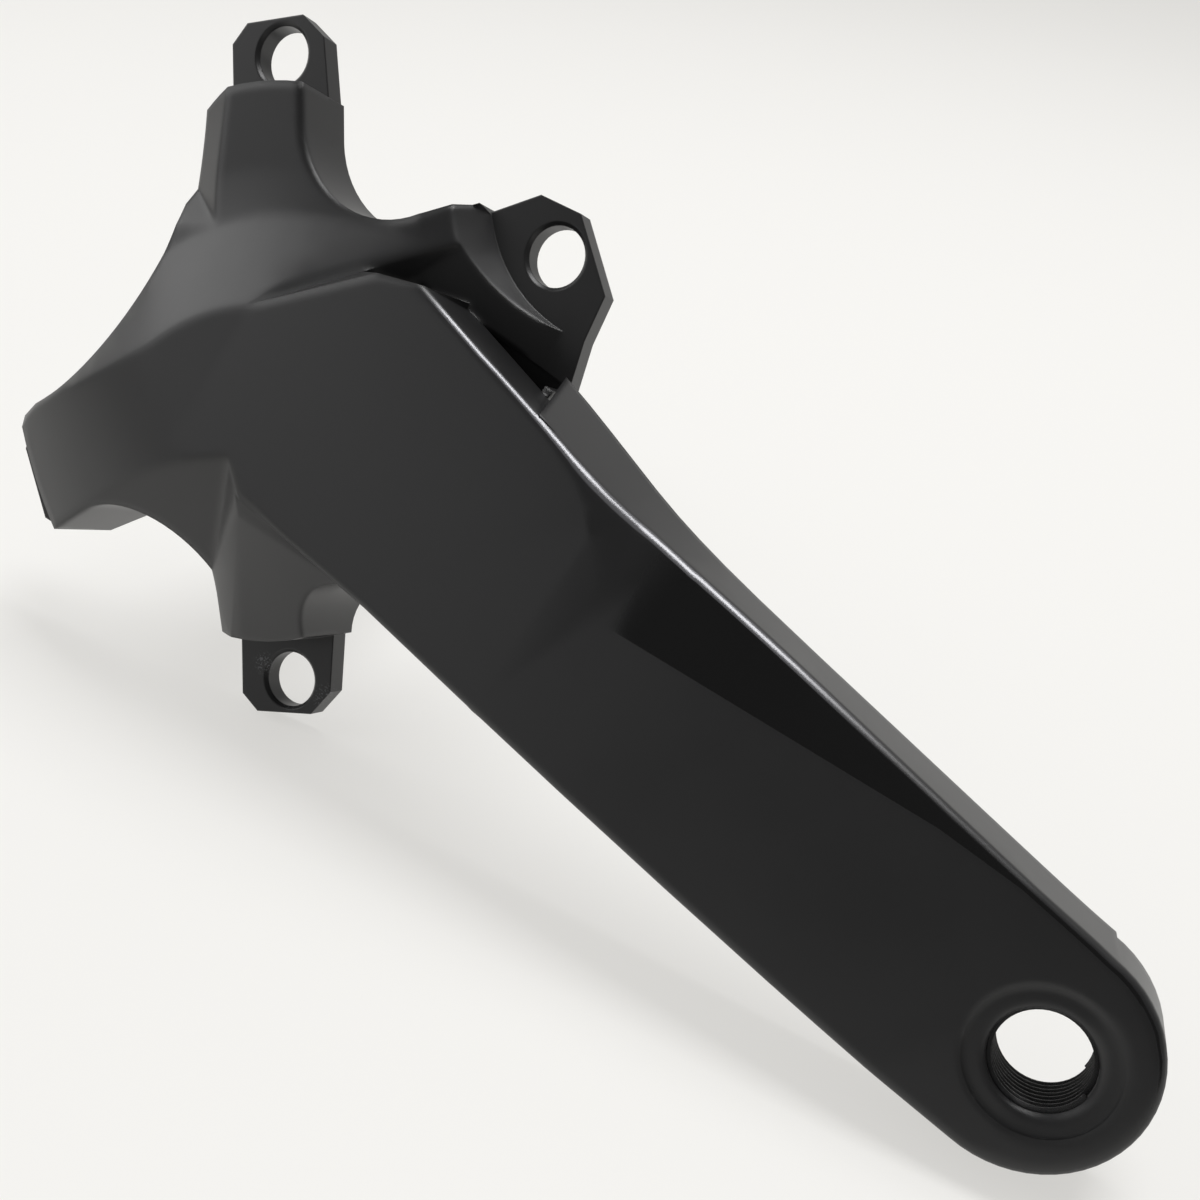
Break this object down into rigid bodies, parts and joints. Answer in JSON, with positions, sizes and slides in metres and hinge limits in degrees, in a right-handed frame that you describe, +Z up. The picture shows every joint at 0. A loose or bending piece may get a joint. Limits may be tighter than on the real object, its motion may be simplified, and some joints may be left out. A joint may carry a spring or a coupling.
{
  "type": "bicycle crank arm",
  "caption": "Black forged right-hand bicycle crank arm with chainring spider, threaded pedal eye and hollow steel spindle, lying as it comes to rest.",
  "frame": {"origin": "middle of the bounding box's bottom face, on the floor that the arm rests on", "axes": "+X along the floor from the spider to the pedal eye, +Z up, outer face of the crank towards -Y and upwards"},
  "size_m": [0.2284, 0.1356, 0.1107],
  "materials": {
    "black_anodised": "satin",
    "spindle_steel": "satin"
  },
  "bodies": {
    "root": {"crank_arm": "black_anodised", "spindle": "spindle_steel"}
  },
  "joints": []
}
